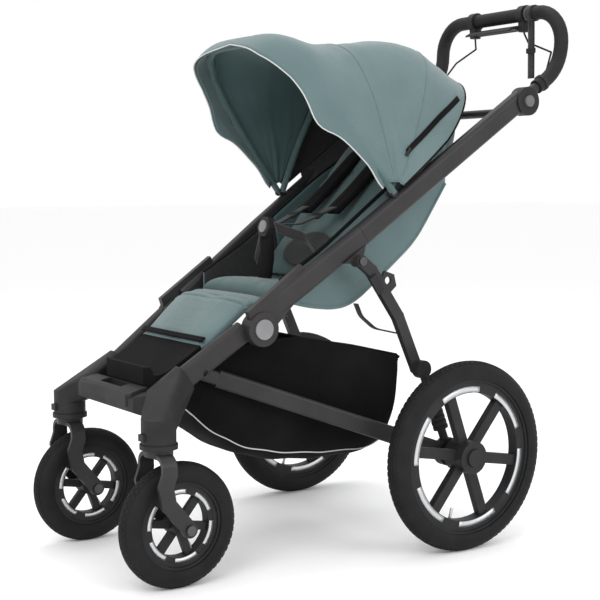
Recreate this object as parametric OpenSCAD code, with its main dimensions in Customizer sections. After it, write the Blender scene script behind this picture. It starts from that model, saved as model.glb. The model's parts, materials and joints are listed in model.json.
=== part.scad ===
// Three-season pushchair: four wheels, folding side frames, seat, canopy and basket.
// Millimetres. +X is the child's left, -Y is the front, +Z is up.
// The origin is on the floor under the middle of the object.

/* [Rear wheels] */
// Outside diameter of a rear tyre
rear_wheel_d = 395; // [360:1:430]
// Width of a rear tyre's section
rear_tyre_w = 48; // [40:1:56]
// Distance between the middles of the two rear wheels
rear_track = 625; // [600:1:680]
// Distance from the front axle to the rear axle
wheelbase = 616; // [590:1:660]
// Radius of a rear hub
rear_hub_r = 34; // [28:1:40]
// Radius of the rear axle's running ends
rear_axle_r = 6; // [5:0.5:8]

/* [Front wheels] */
// Outside diameter of a front tyre
front_wheel_d = 240; // [220:1:246]
// Width of a front tyre's section
front_tyre_w = 47; // [40:1:50]
// Distance between the middles of the two front wheels
front_track = 400; // [390:1:440]
// Radius of a front hub
front_hub_r = 20; // [17:1:26]
// Radius of a front axle
front_axle_r = 5; // [4:0.5:6]
// Distance that a front wheel trails behind its swivel
trail = 38; // [30:1:42]

/* [Wheel spokes] */
// Number of spokes in each wheel
spoke_count = 6; // [5:1:7]
// Width of a rear spoke
rear_spoke_w = 22; // [16:1:28]
// Width of a front spoke
front_spoke_w = 15; // [11:1:18]

/* [Forks and swivels] */
// Width of a fork strap
fork_w = 30; // [24:1:34]
// Thickness of a fork strap
fork_t = 8; // [6:1:10]
// Gap between a tyre and the inside of its fork
fork_gap = 19; // [14:1:22]
// Height of the top face of a fork
fork_top_z = 262; // [258:1:264]
// Radius of a swivel stem
stem_r = 8; // [6:0.5:10]
// Outside radius of a swivel barrel
barrel_r = 33; // [28:1:35]
// Height of a swivel barrel
barrel_h = 46; // [40:1:54]

/* [Side frames] */
// Slope of the side tubes in degrees
slope = 35.1; // [33:0.1:37]
// Height of the side tubes' middle above the front axle's line
tube_base_z = 353; // [345:1:360]
// Depth of a side tube
tube_d = 45; // [40:1:50]
// Width of a side tube
tube_w = 26; // [22:1:28]
// Distance of the fold hubs behind the front axle
hub_y = 201; // [190:1:215]
// Radius of a fold hub
hub_r = 34; // [30:1:38]
// Half distance between the side tubes at the front
half_front = 139; // [132:1:146]
// Half distance between the side tubes at the hubs
half_hub = 169; // [166:1:176]
// Half distance between the side tubes in the middle
half_mid = 199; // [192:1:206]
// Half distance between the side tubes at the handle
half_top = 228; // [218:1:236]

/* [Struts and rails] */
// Depth of a lower rail
rail_d = 36; // [30:1:42]
// Width of a lower rail
rail_w = 16; // [12:1:18]
// Width of a strut
strut_w = 24; // [20:1:28]
// Thickness of a strut
strut_t = 14; // [10:1:16]

/* [Handlebar] */
// Radius of the handlebar with its grip
grip_r = 16; // [14:1:18]
// Half width of the handlebar's loop
handle_half = 203; // [185:1:206]
// Height of the handlebar's crossbar
handle_z = 1150; // [1110:1:1180]
// Distance of the crossbar behind the front axle
handle_y = 985; // [965:1:1010]
// Radius of the handlebar's corners
handle_corner = 72; // [60:1:84]
// Outside radius of a handle pivot housing
pivot_r = 31; // [27:1:34]

/* [Seat] */
// Half width of the seat
seat_half = 146; // [136:1:149]
// Thickness of the seat's pads
pad_t = 24; // [18:1:28]
// Half width of the leg rest
leg_half = 118; // [108:1:120]

/* [Canopy] */
// Radius of the canopy in the middle
canopy_r = 396; // [380:1:400]
// Half width of the canopy
canopy_half = 224; // [218:1:228]
// Thickness of the canopy's cloth and padding
canopy_t = 4; // [3:0.5:5]
// Angle from the front edge of the canopy to its rear edge, in degrees
canopy_sweep = 92; // [86:1:98]

/* [Basket] */
// Wall thickness of the basket
basket_t = 4; // [3:0.5:6]
// Half width of the basket at its rear
basket_half = 170; // [150:1:180]

/* [Clearances] */
// Radial running clearance of a shaft in its bore
run = 0.05; // [0.02:0.01:0.1]
// Gap between parts that move past each other
gap = 0.6; // [0.4:0.1:1]

/* [Hidden] */
$fn = 64;
SIDES = [1, -1];

rear_r = rear_wheel_d / 2;
front_r = front_wheel_d / 2;
mount_r = grip_r + 5;                              // outside of the brake lever's clamps
origin_y = (handle_y + mount_r - front_r) / 2;     // middle of the object's length
rear_x = rear_track / 2;
front_x = front_track / 2;
rear_rim_r = rear_r - 0.76 * rear_tyre_w;          // where tyre and rim meet
front_rim_r = front_r - 0.76 * front_tyre_w;
rim_t = 14;                                        // radial depth of a rim
tyre_seat = 0.02;                                  // fit between tyre and rim

rise = tan(slope);
function tube_z(y) = tube_base_z + rise * y;       // middle of a side tube
hub_drop = 19;                                     // hub centre below the tube's middle
hub_z = tube_z(hub_y) - hub_drop;
mid_y = 430;                                       // where the upper tube bends outwards
pivot_y = 848;
pivot_z = tube_z(pivot_y) - 11;
low_y = 22;                                        // front end of a lower tube
layer_x = half_hub + 3;                            // plane between the hub's two halves
sweep_r = 56;                                      // room swept by the hub's outer half
hub_half_t = 18;                                   // thickness of a hub's outer half

swivel_y = -trail;
barrel_z = fork_top_z + 8;
rail_y = 85;                                       // front pivot of the lower rails
rail_z = hub_z - 80;
rail_x = half_front - tube_w / 2 - rail_w / 2 - 3;
carrier_x = rear_x - rear_tyre_w / 2 - 30;         // inner side of the rear wheels
strut_top_y = 413;
strut_top_z = tube_z(strut_top_y) - tube_d / 2 / cos(slope) - 12;
strut_low_y = 560;
strut_low_z = 374;
strut_x = half_mid + 20;

canopy_y = 500;                                    // axis that the canopy turns on
canopy_z = 740;
canopy_low = 39;                                   // angle of the rear edge
canopy_split = canopy_low + 0.48 * canopy_sweep;
recline_y = 410;
recline_z = 545;

// Puts a piece drawn behind the front axle's line into the object's own frame.
module base() {
  translate([0, -origin_y, 0]) children();
}

// Mirrors what is drawn for the left side (+X) to side s.
module on_side(s) {
  if (s > 0) {
    children();
  } else {
    mirror([1, 0, 0]) children();
  }
}

module both() {
  for (s = SIDES) on_side(s) children();
}

// Flat shape with round ends along a list of points: a strap seen from its side.
// Its joints are a little rounder than the strap is wide.
module strap_2d(points, w) {
  for (p = points) translate(p) circle(d = 1.03 * w);
  for (i = [0 : len(points) - 2]) {
    a = points[i];
    b = points[i + 1];
    translate(a) rotate(atan2(b[1] - a[1], b[0] - a[0])) translate([0, -w / 2]) square([norm(b - a), w]);
  }
}

// Rectangle with round corners, centred.
module round_rect(dx, dy, r) {
  square([dx - 2 * r, dy], center = true);
  square([dx, dy - 2 * r], center = true);
  for (x = SIDES, y = SIDES) translate([x * (dx / 2 - r), y * (dy / 2 - r)]) circle(r = r);
}

// Straight bar from a to b: depth d in the upright plane, width w across it.
module bar(a, b, d, w, r) {
  v = b - a;
  translate(a) rotate([0, 90 - atan2(v[2], norm([v[0], v[1]])), atan2(v[1], v[0])])
    linear_extrude(norm(v)) round_rect(d, w, r);
}

// Round bar from a to b.
module rod(a, b, r) {
  v = b - a;
  translate(a) rotate([0, 90 - atan2(v[2], norm([v[0], v[1]])), atan2(v[1], v[0])])
    cylinder(h = norm(v), r = r);
}

// Thin round cord through a list of points.
module cord(points, r) {
  for (i = [0 : len(points) - 2]) hull() {
    translate(points[i]) sphere(r = r, $fn = 12);
    translate(points[i + 1]) sphere(r = r, $fn = 12);
  }
}

// Cylinder along X from x0 to x1 around the point (y, z).
module x_cyl(x0, x1, y, z, r) {
  translate([x0, y, z]) rotate([0, 90, 0]) cylinder(h = x1 - x0, r = r);
}

// Plate between x0 and x1 whose side view is the 2D child, drawn as (y, z).
module side_plate(x0, x1) {
  translate([x0, 0, 0]) rotate([90, 0, 90]) linear_extrude(x1 - x0) children();
}

// ---- wheels, drawn around the X axis at the origin ----

module tyre(wheel_r, w, rim_r) {
  rotate([0, 90, 0]) rotate_extrude($fn = 128) difference() {
    translate([wheel_r - w / 2, 0]) circle(d = w);
    translate([0, -w]) square([rim_r + tyre_seat, 2 * w]);
  }
}

// Rim, spokes and bored hub in one moulding.
module spoked_wheel(rim_r, rim_w, hub_r0, hub_w, spoke_w, spoke_t, bore_r) {
  rotate([0, 90, 0]) difference() {
    union() {
      rotate_extrude($fn = 128) {
        translate([rim_r - rim_t, -rim_w / 2 + 4]) square([rim_t, rim_w - 8]);
        translate([rim_r - 5, -rim_w / 2]) square([5, rim_w]);
      }
      cylinder(h = hub_w, r = hub_r0, center = true);
      for (i = [0 : spoke_count - 1]) {
        rotate([0, 0, i * 360 / spoke_count + 20]) translate([hub_r0 - 6, -spoke_w / 2, -spoke_t / 2])
          cube([rim_r - rim_t - hub_r0 + 8, spoke_w, spoke_t]);
      }
    }
    cylinder(h = hub_w + 2, r = bore_r, center = true);
  }
}

rear_hub_w = 56;
front_hub_w = 44;
rear_spoke_t = 16;
front_spoke_t = 12;
button_r = 18;
button_seat = 6;

module rear_wheel(s) {
  color([0.3, 0.3, 0.31]) base() on_side(s) translate([rear_x, wheelbase, rear_r]) difference() {
    spoked_wheel(rear_rim_r, rear_tyre_w * 0.7, rear_hub_r, rear_hub_w, rear_spoke_w, rear_spoke_t,
                 rear_axle_r + run);
    x_cyl(rear_hub_w / 2 - button_seat, rear_hub_w, 0, 0, button_r + 0.5);
  }
}

module rear_tyre(s) {
  color([0.13, 0.13, 0.13]) base() on_side(s) translate([rear_x, wheelbase, rear_r])
    tyre(rear_r, rear_tyre_w, rear_rim_r);
}

module hub_button(s) {
  color("gray") base() on_side(s) translate([rear_x, wheelbase, rear_r])
    x_cyl(rear_hub_w / 2 - button_seat + 3, rear_hub_w / 2 + 5, 0, 0, button_r);
}

module front_wheel(s) {
  color([0.3, 0.3, 0.31]) base() on_side(s) translate([front_x, 0, front_r])
    spoked_wheel(front_rim_r, front_tyre_w * 0.7, front_hub_r, front_hub_w, front_spoke_w, front_spoke_t,
                 front_axle_r + run);
}

module front_tyre(s) {
  color([0.13, 0.13, 0.13]) base() on_side(s) translate([front_x, 0, front_r])
    tyre(front_r, front_tyre_w, front_rim_r);
}

// ---- swivelling forks ----

fork_in = front_tyre_w / 2 + fork_gap;             // inside face of a fork leg
fork_out = fork_in + fork_t;
loop_h = 34;                                       // height of the fork's loop above its straight legs
fork_path = [[swivel_y - 3, fork_top_z - loop_h], [swivel_y - 11, 205], [swivel_y - 5, 172], [0, front_r]];
stem_top = barrel_z + barrel_h - 6;

module fork(s) {
  color("dimgray") base() on_side(s) translate([front_x, 0, 0]) difference() {
    union() {
      for (side = SIDES) {
        x0 = side > 0 ? fork_in : -fork_out;
        side_plate(x0, x0 + fork_t) strap_2d(fork_path, fork_w);
      }
      // top of the loop, with round shoulders
      translate([0, swivel_y - 3 + fork_w / 2, 0]) rotate([90, 0, 0]) linear_extrude(fork_w) difference() {
        translate([0, fork_top_z - 40]) round_rect(2 * fork_out, 80, 24);
        translate([0, fork_top_z - fork_t - 40]) round_rect(2 * fork_in, 80, 16);
        translate([-fork_out - 1, fork_top_z - loop_h - 80]) square([2 * fork_out + 2, 80]);
      }
      translate([0, swivel_y, fork_top_z - 6]) cylinder(h = 12, r = barrel_r - 6);
      translate([0, swivel_y, fork_top_z - 6]) cylinder(h = stem_top - fork_top_z + 6, r = stem_r);
    }
    x_cyl(-fork_out - 1, fork_out + 1, 0, front_r, front_axle_r + 0.02);
  }
}

module front_axle(s) {
  color("silver") base() on_side(s) translate([front_x, 0, front_r]) {
    x_cyl(-fork_out - 0.2, fork_out + 0.2, 0, 0, front_axle_r);
    for (side = SIDES) {
      x0 = side > 0 ? fork_out + 0.1 : -fork_out - 5.1;
      x_cyl(x0, x0 + 5, 0, 0, 9.5);
    }
    for (side = SIDES) {
      x0 = side > 0 ? front_hub_w / 2 + 0.3 : -fork_in + 0.3;
      x_cyl(x0, x0 + fork_in - front_hub_w / 2 - 0.6, 0, 0, 8);
    }
  }
}

// ---- front casting ----

bush_r = stem_r + 4;
deck_y = -54;                                      // front face of the bridge
deck_top = 352;
deck_low = 322;
deck_end = -10;                                    // rear edge of the bridge's raised top
slot_half = 46;
socket_end = 50;                                   // where the socket around a side tube ends
collar_h = 9;
// Side view of the bridge between the two barrels
bridge_side = [[deck_y, deck_top], [deck_y, deck_low + 6], [deck_y + 12, deck_low], [12, 330], [26, 342],
               [26, 358],
               [deck_end, 358], [deck_end - 4, 364], [-30, 362], [-46, 357]];
// Plan of the bridge and of the step on it
bridge_plan = [[-half_front - 4, 30], [-half_front - 4, -34], [-124, -52], [-104, deck_y], [0, deck_y + 7],
               [104, deck_y], [124, -52], [half_front + 4, -34], [half_front + 4, 30]];
step_side = [[deck_y - 6, deck_low + 14], [deck_y + 6.6, deck_low + 14], [deck_y + 6.6, deck_top + 0.6],
             [-45.6, 357.8], [-30, 362.8], [deck_end - 4.2, 364.8], [deck_end - 4.2, 370], [-30, 368.5],
             [-46, 364],
             [deck_y - 6, deck_top + 4]];

module front_casting() {
  color([0.2, 0.2, 0.21]) base() difference() {
    union() {
      both() {
        translate([front_x, swivel_y, barrel_z]) cylinder(h = barrel_h, r = barrel_r);
        hull() {
          translate([front_x, swivel_y, barrel_z + barrel_h - 12]) cylinder(h = 22, r = barrel_r, $fn = 48);
          translate([front_x - 6, swivel_y + 10, barrel_z + barrel_h + 4])
            cylinder(h = 18, r = 18, $fn = 32);
          bar([half_front, -10, tube_z(-10)], [half_front + 4, socket_end, tube_z(socket_end)],
              tube_d + 10, tube_w + 8, 12, $fn = 24);
        }
      }
      // bridge between the two sides
      intersection() {
        side_plate(-half_front - 4, half_front + 4) polygon(bridge_side);
        linear_extrude(500) polygon(bridge_plan);
      }
    }
    both() {
      translate([front_x, swivel_y, barrel_z - 1]) cylinder(h = stem_top - barrel_z + 3, r = bush_r);
      lower_tube_bar(-0.1);
      // room for the lock button
      translate([front_x - 9.6, swivel_y - barrel_r - 6, barrel_z + 16]) cube([19.2, 12, 14]);
    }
    // slot through the bridge
    translate([-slot_half, -38, 300]) cube([2 * slot_half, 22, 100]);
  }
}

// Collars around the lower ends of the barrels.
module barrel_collars() {
  color([0.12, 0.12, 0.13]) base() both() translate([front_x, swivel_y, barrel_z]) difference() {
    cylinder(h = collar_h, r = barrel_r + 3);
    translate([0, 0, -1]) cylinder(h = collar_h + 2, r = barrel_r + 0.02);
  }
}

module step_panel() {
  color([0.15, 0.15, 0.16]) base() difference() {
    intersection() {
      side_plate(-112, 112) polygon(step_side);
      linear_extrude(500) polygon([[-112, 0], [-112, -50], [-100, deck_y - 3], [0, deck_y + 2.5],
                                   [100, deck_y - 3], [112, -50], [112, 0]]);
    }
    // clears the bridge's front face and the edge of its top
    intersection() {
      linear_extrude(500) polygon([for (p = bridge_plan) [p[0], p[1] - 0.6]]);
      side_plate(-120, 120) polygon([for (p = bridge_side) [p[0] - 0.5, p[1] + 0.5]]);
    }
    translate([-slot_half - 1, -39, 300]) cube([2 * slot_half + 2, 24, 100]);
  }
}

module swivel_bushes() {
  color("black") base() both() difference() {
    translate([front_x, swivel_y, barrel_z]) cylinder(h = stem_top - barrel_z + 2, r = bush_r - 0.02);
    translate([front_x, swivel_y, barrel_z - 1]) cylinder(h = stem_top - barrel_z + 4, r = stem_r + run);
  }
}

module swivel_lock(s) {
  color("gray") base() on_side(s) translate([front_x - 9, swivel_y - barrel_r - 5, barrel_z + 16.6])
    cube([18, 8, 12.8]);
}

// ---- side frames ----

// The lower tube's bar, grown by g all round.
module lower_tube_bar(g) {
  bar([half_front, low_y, tube_z(low_y)], [half_hub, hub_y, tube_z(hub_y)],
      tube_d + 2 * g, tube_w + 2 * g, 11);
}

module lower_tube(s) {
  color([0.27, 0.26, 0.26]) base() on_side(s) difference() {
    union() {
      difference() {
        lower_tube_bar(-0.3);
        // the outer half of the hub turns here
        x_cyl(layer_x - 0.1, half_hub + 40, hub_y, hub_z, sweep_r);
        // square end, in front of the hub's middle
        translate([half_hub - 40, hub_y, hub_z]) rotate([slope, 0, 0]) translate([0, -28, -60])
          cube([80, 90, 140]);
      }
      x_cyl(half_hub - tube_w / 2 + 0.4, layer_x - gap, hub_y, hub_z, hub_r - 1);
      // web between the tube and the hub
      intersection() {
        lower_tube_bar(-0.3);
        x_cyl(half_hub - 40, layer_x - gap, hub_y, hub_z, 40);
        translate([0, hub_y, hub_z]) rotate([slope, 0, 0]) translate([0, -60, -60]) cube([300, 60, 82]);
      }
    }
    x_cyl(half_hub - 40, half_hub + 40, hub_y, hub_z, 7);
    x_cyl(half_front - 40, half_front + 50, rail_y, rail_z, 6);
  }
}

// Upper tube with the hub's outer half, the strut's bracket and the seat's clip.
module upper_tube(s) {
  tube_start = hub_y + 4;
  color([0.27, 0.26, 0.26]) base() on_side(s) difference() {
    union() {
      difference() {
        union() {
          bar([half_hub, tube_start, tube_z(tube_start)], [half_mid, mid_y, tube_z(mid_y)],
              tube_d, tube_w, 11);
          bar([half_mid, mid_y, tube_z(mid_y)], [half_top, pivot_y - 10, tube_z(pivot_y - 10)],
              tube_d, tube_w, 11);
        }
        // inner half stays behind the hub
        translate([0, hub_y, hub_z]) rotate([slope, 0, 0]) translate([100, -60, -70])
          cube([layer_x + gap - 100, 98, 160]);
        x_cyl(0, layer_x + gap, hub_y, hub_z, 42);
      }
      // outer half of the hub, and the piece that carries it
      x_cyl(layer_x + gap, layer_x + hub_half_t, hub_y, hub_z, hub_r);
      intersection() {
        side_plate(layer_x + gap, layer_x + hub_half_t - 4)
          polygon([[hub_y - 26, hub_z + 12], [hub_y - 34, hub_z + 36], [hub_y + 90, hub_z + 124],
                   [hub_y + 112, hub_z + 84], [hub_y + 30, hub_z + 4]]);
        x_cyl(0, 300, hub_y + 40, hub_z + 40, 110);
      }
      // bracket of the strut's top pivot
      side_plate(strut_x - strut_t / 2 - gap - 10, strut_x - strut_t / 2 - gap) {
        translate([strut_top_y, strut_top_z]) circle(r = 13);
        polygon([[strut_top_y - 34, tube_z(strut_top_y - 34) - 20], [strut_top_y - 12, strut_top_z - 6],
                 [strut_top_y + 12, strut_top_z + 2], [strut_top_y + 20, tube_z(strut_top_y + 20) - 20]]);
      }
    }
    x_cyl(layer_x - 1, layer_x + 40, hub_y, hub_z, 7 + run);
    x_cyl(strut_x - 40, strut_x + 40, strut_top_y, strut_top_z, 5);
    housing_room();
  }
}

// Space around the handle's pivot.
module housing_room() {
  x_cyl(half_top - 60, half_top + 60, pivot_y, pivot_z, pivot_r + 0.3);
}

module hub_caps() {
  color([0.45, 0.45, 0.46]) base() both() {
    x_cyl(layer_x + hub_half_t + 0.05, layer_x + hub_half_t + 3, hub_y, hub_z, 20);
  }
}

module pivot_pins() {
  color("silver") base() both() {
    x_cyl(half_hub - tube_w / 2 + 1, layer_x + hub_half_t - 0.5, hub_y, hub_z, 7);
    x_cyl(rail_x - rail_w / 2 + 1, half_front + tube_w / 2 - 4, rail_y, rail_z, 6);
  }
}

crossbar_y = 806;
crossbar_half = upper_x(crossbar_y) - tube_w / 2 - 0.4;
function upper_x(y) = half_mid + (half_top - half_mid) * (y - mid_y) / (pivot_y - 10 - mid_y);

module upper_crossbar() {
  color([0.25, 0.25, 0.25]) base()
    x_cyl(-crossbar_half, crossbar_half, crossbar_y, tube_z(crossbar_y) - 6, 9);
}

// ---- handle pivot, handlebar and brake lever ----

housing_x0 = handle_half + grip_r - 3;
housing_x1 = half_top + tube_w / 2 + 3;

module pivot_housings() {
  color([0.16, 0.16, 0.17]) base() both() difference() {
    x_cyl(handle_half + 13, housing_x1, pivot_y, pivot_z, pivot_r);
    x_cyl(0, handle_half + 18, pivot_y, pivot_z, 13.6);
    x_cyl(housing_x1 - 8, housing_x1 + 1, pivot_y, pivot_z, 13);
  }
}

handle_slope = 30;
handle_bend = 105;                                 // radius of the arm's bend
arm_len = (handle_y - pivot_y - handle_bend * (1 - sin(handle_slope))) / cos(handle_slope);
bend_y = pivot_y + arm_len * cos(handle_slope);
bend_z = pivot_z + arm_len * sin(handle_slope);
arm_top = bend_z + handle_bend * cos(handle_slope);
arm_gap = 12;                                      // bare tube beside the pivot

// Handlebar's loop with radius r, its arms starting at distance d0 from the pivot.
// The loop is swept: each of its rings is a centre and two radial directions.
ring_n = 20;
bend_n = 8;
corner_n = 9;
bar_r = 11;
grip_from = 0.72;                                  // share of the arm that the grip leaves bare
bend_mid = [bend_y - handle_bend * sin(handle_slope), bend_z + handle_bend * cos(handle_slope)];
corner_mid = [handle_half - handle_corner, handle_z - handle_corner];
function arm_ring(d) = [[handle_half, pivot_y + d * cos(handle_slope), pivot_z + d * sin(handle_slope)],
                        [1, 0, 0], [0, sin(handle_slope), -cos(handle_slope)]];
function bend_ring(a) = [[handle_half, bend_mid[0] + handle_bend * cos(a),
                          bend_mid[1] + handle_bend * sin(a)], [1, 0, 0], [0, cos(a), sin(a)]];
function corner_ring(a) = [[corner_mid[0] + handle_corner * cos(a), handle_y,
                            corner_mid[1] + handle_corner * sin(a)], [cos(a), 0, sin(a)], [0, 1, 0]];
function flip(p) = [-p[0], p[1], p[2]];
function left_rings(d) = concat([arm_ring(d)],
  [for (i = [0 : bend_n]) bend_ring((handle_slope - 90) * (1 - i / bend_n))],
  [for (i = [0 : corner_n]) corner_ring(90 * i / corner_n)]);
function mirrored(g) = [for (i = [len(g) - 1 : -1 : 0]) [for (p = g[i]) flip(p)]];
function loop_rings(d) = concat(left_rings(d), mirrored(left_rings(d)));
function ring_points(g, r) = [for (k = [0 : ring_n - 1])
  g[0] + r * (cos(360 * k / ring_n) * g[1] + sin(360 * k / ring_n) * g[2])];
function quad(a, b, c, d) = [[a, b, c], [a, c, d]];

// Solid bar of radius r along the loop, from a distance d up each arm.
module swept_bar(r, d) {
  g = loop_rings(d);
  last = len(g) - 1;
  function at(i, k) = ring_n * i + k % ring_n;
  polyhedron([for (p = g) each ring_points(p, r)], concat(
    [for (i = [0 : last - 1], k = [0 : ring_n - 1])
      each quad(at(i, k), at(i + 1, k), at(i + 1, k + 1), at(i, k + 1))],
    [[for (k = [0 : ring_n - 1]) at(0, k)]],
    [[for (k = [ring_n - 1 : -1 : 0]) at(last, k)]]));
}

// Sleeve with outer radius r and the given bore along the loop.
module swept_sleeve(r, bore, d) {
  g = loop_rings(d);
  last = len(g) - 1;
  function out(i, k) = 2 * ring_n * i + k % ring_n;
  function in(i, k) = out(i, k) + ring_n;
  polyhedron([for (p = g) each concat(ring_points(p, r), ring_points(p, bore))], concat(
    [for (i = [0 : last - 1], k = [0 : ring_n - 1])
      each quad(out(i, k), out(i + 1, k), out(i + 1, k + 1), out(i, k + 1))],
    [for (i = [0 : last - 1], k = [0 : ring_n - 1])
      each quad(in(i, k), in(i, k + 1), in(i + 1, k + 1), in(i + 1, k))],
    [for (k = [0 : ring_n - 1]) each quad(out(0, k), out(0, k + 1), in(0, k + 1), in(0, k))],
    [for (k = [0 : ring_n - 1])
      each quad(out(last, k), in(last, k), in(last, k + 1), out(last, k + 1))]));
}

module handlebar() {
  color([0.2, 0.2, 0.2]) base() {
    swept_bar(bar_r, 0);
    both() {
      x_cyl(handle_half - 12, handle_half + 12.4, pivot_y, pivot_z, 15);
      x_cyl(handle_half, handle_half + 17.6, pivot_y, pivot_z, 13.5);
    }
  }
}

module handle_grip() {
  color([0.1, 0.1, 0.1]) base() swept_sleeve(grip_r, bar_r + 0.02, arm_len * grip_from);
}

brake_x = 84;
brake_drop = 30;

module brake_mount() {
  color([0.14, 0.14, 0.15]) base() translate([0, handle_y, handle_z]) for (x = [-brake_x, brake_x])
    difference() {
      union() {
        x_cyl(x - 9, x + 9, 0, 0, mount_r);
        side_plate(x - 9, x + 9)
          polygon([[-12, -10], [12, -10], [9, -brake_drop - 10], [-9, -brake_drop - 10]]);
      }
      x_cyl(x - 10, x + 10, 0, 0, grip_r + 0.02);
      x_cyl(x - 10, x + 10, 0, -brake_drop, 3);
    }
}

module brake_bar() {
  color([0.18, 0.18, 0.19]) base() translate([0, handle_y, handle_z - brake_drop]) {
    x_cyl(-brake_x + 9.6, brake_x - 9.6, 0, 0, 7);
    side_plate(-brake_x + 9.6, brake_x - 9.6)
      polygon([[-4, 5], [-24, 2], [-40, -6], [-41, -10], [-24, -4], [-4, -5]]);
    x_cyl(-brake_x - 8, brake_x + 8, 0, 0, 2.95);
  }
}

// Cables from the lever's mounts down both arms, held along their whole route.
cable_r = 2.2;
cable_x = handle_half - grip_r - 1.5 - cable_r;
cable_path = [[brake_x, handle_y, handle_z - brake_drop - 10.3 - cable_r],
              [brake_x + 6, handle_y + 8, handle_z - 64], [cable_x - 20, handle_y + 9, handle_z - 92],
              [cable_x, handle_y - 30, handle_z - 150], [cable_x, handle_y - 88, pivot_z + 26],
              [handle_half - 12.3 - cable_r, pivot_y + 4, pivot_z + 6]];

module brake_cables() {
  color("black") base() both() cord(cable_path, cable_r);
}

module wrist_strap() {
  color("black") base() translate([110, handle_y, handle_z]) {
    difference() {
      x_cyl(-10, 10, 0, 0, grip_r + 2.4);
      x_cyl(-11, 11, 0, 0, grip_r + 0.3);
    }
    translate([-10, -2, -150]) cube([20, 3, 134]);
    translate([-13, -5, -116]) cube([26, 9, 12]);
  }
}

module handle_release(s) {
  color("gray") base() on_side(s) x_cyl(housing_x1 - 4, housing_x1 + 5, pivot_y, pivot_z, 12.4);
}

// ---- struts ----

strut_path = [[strut_top_y, strut_top_z], [strut_top_y + 26, strut_top_z - 20],
              [strut_top_y + 96, strut_top_z - 118], [strut_low_y, strut_low_z]];

module strut(s) {
  x0 = strut_x - strut_t / 2;
  color([0.2, 0.2, 0.2]) base() on_side(s) difference() {
    union() {
      side_plate(x0, x0 + strut_t) strap_2d(strut_path, strut_w);
      // latch bracket behind the strut
      side_plate(x0 + 2, x0 + 8) difference() {
        polygon([[strut_top_y + 44, strut_top_z - 52], [strut_top_y + 62, strut_top_z - 22],
                 [strut_top_y + 86, strut_top_z - 30], [strut_top_y + 92, strut_top_z - 54],
                 [strut_top_y + 66, strut_top_z - 76]]);
        translate([strut_top_y + 70, strut_top_z - 42]) circle(r = 8);
      }
    }
    x_cyl(x0 - 1, x0 + strut_t + 1, strut_top_y, strut_top_z, 5 + run);
  }
}

module strut_pins() {
  color("silver") base() both() {
    x_cyl(strut_x - strut_t / 2 - 11, strut_x + strut_t / 2 + 0.6, strut_top_y, strut_top_z, 5);
    x_cyl(strut_x + strut_t / 2 + 0.5, strut_x + strut_t / 2 + 4, strut_top_y, strut_top_z, 9);
  }
}

// ---- rear frame ----

rail_end_y = wheelbase - 26;
rail_end_z = rear_r + 6;
leg_x = strut_x + strut_t / 2 + 9 + 1.5;
leg_r = 9;
rail_kink_y = 150;
function rail_mid_z(y) = rail_z + (y - rail_y) * (rail_end_z - rail_z) / (rail_end_y - rail_y);

module rail(s) {
  kink = [rail_x + 3, rail_kink_y, rail_mid_z(rail_kink_y)];
  color([0.25, 0.25, 0.25]) base() on_side(s) difference() {
    union() {
      bar([rail_x, rail_y, rail_z], kink, rail_d - 8, rail_w, 7);
      bar([rail_x, rail_y, rail_z] + 0.8 * (kink - [rail_x, rail_y, rail_z]),
          [carrier_x - 6, rail_end_y, rail_end_z], rail_d, rail_w, 7);
      x_cyl(rail_x - rail_w / 2, rail_x + rail_w / 2, rail_y, rail_z, 15);
    }
    x_cyl(rail_x - 20, rail_x + 20, rail_y, rail_z, 6 + run);
    carrier_block();
  }
}

// Block that joins rail, leg and axle beside each rear wheel.
module carrier_block() {
  x_cyl(carrier_x - 14, carrier_x + 8, wheelbase, rear_r, 30);
}

module axle_carriers() {
  color([0.17, 0.17, 0.18]) base() both() difference() {
    union() {
      carrier_block();
      // leg up to the strut's housing
      rod([carrier_x - 2, wheelbase - 6, rear_r + 20], [leg_x, strut_low_y + 4, strut_low_z - 8], leg_r);
      x_cyl(leg_x - 9, leg_x + 9, strut_low_y, strut_low_z, 19);
    }
    x_cyl(carrier_x - 20, carrier_x + 20, wheelbase, rear_r, 11.02);
  }
}

module rear_axle() {
  color([0.3, 0.3, 0.3]) base() translate([0, wheelbase, rear_r]) {
    x_cyl(-carrier_x - 10, carrier_x + 10, 0, 0, 11);
    x_cyl(-rear_x - rear_hub_w / 2 + 8, rear_x + rear_hub_w / 2 - 8, 0, 0, rear_axle_r);
  }
}

module gaiters() {
  a = [carrier_x - 2, wheelbase - 6, rear_r + 20];
  b = [leg_x, strut_low_y + 4, strut_low_z - 8];
  color("black") base() both() difference() {
    for (i = [0 : 6]) {
      rod(a + (0.2 + 0.07 * i) * (b - a), a + (0.2 + 0.07 * i + 0.045) * (b - a), 16);
      rod(a + (0.2 + 0.07 * i) * (b - a), a + (0.2 + 0.07 * (i + 1)) * (b - a), 13.5);
    }
    rod(a, b, leg_r + 0.02);
  }
}

// ---- seat, leg rest and basket ----

crest_y = 206;
crest_z = 539;

foot_half = 121;
// Side view of the footrest: a tray whose front edge stands up as a lip
foot_side = [[-8, 372], [-4, 366], [6, 366], [40, 391], [102, 430], [106, 442], [98, 444], [40, 408],
             [12, 392], [4, 391], [0, 406], [-8, 405]];

module footrest() {
  color([0.1, 0.1, 0.1]) base() intersection() {
    side_plate(-foot_half, foot_half) polygon(foot_side);
    linear_extrude(600)
      polygon([[-foot_half, 120], [-foot_half, 26], [-foot_half + 14, 6], [-foot_half + 40, -8],
               [foot_half - 40, -8], [foot_half - 14, 6], [foot_half, 26], [foot_half, 120]]);
  }
}

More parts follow.
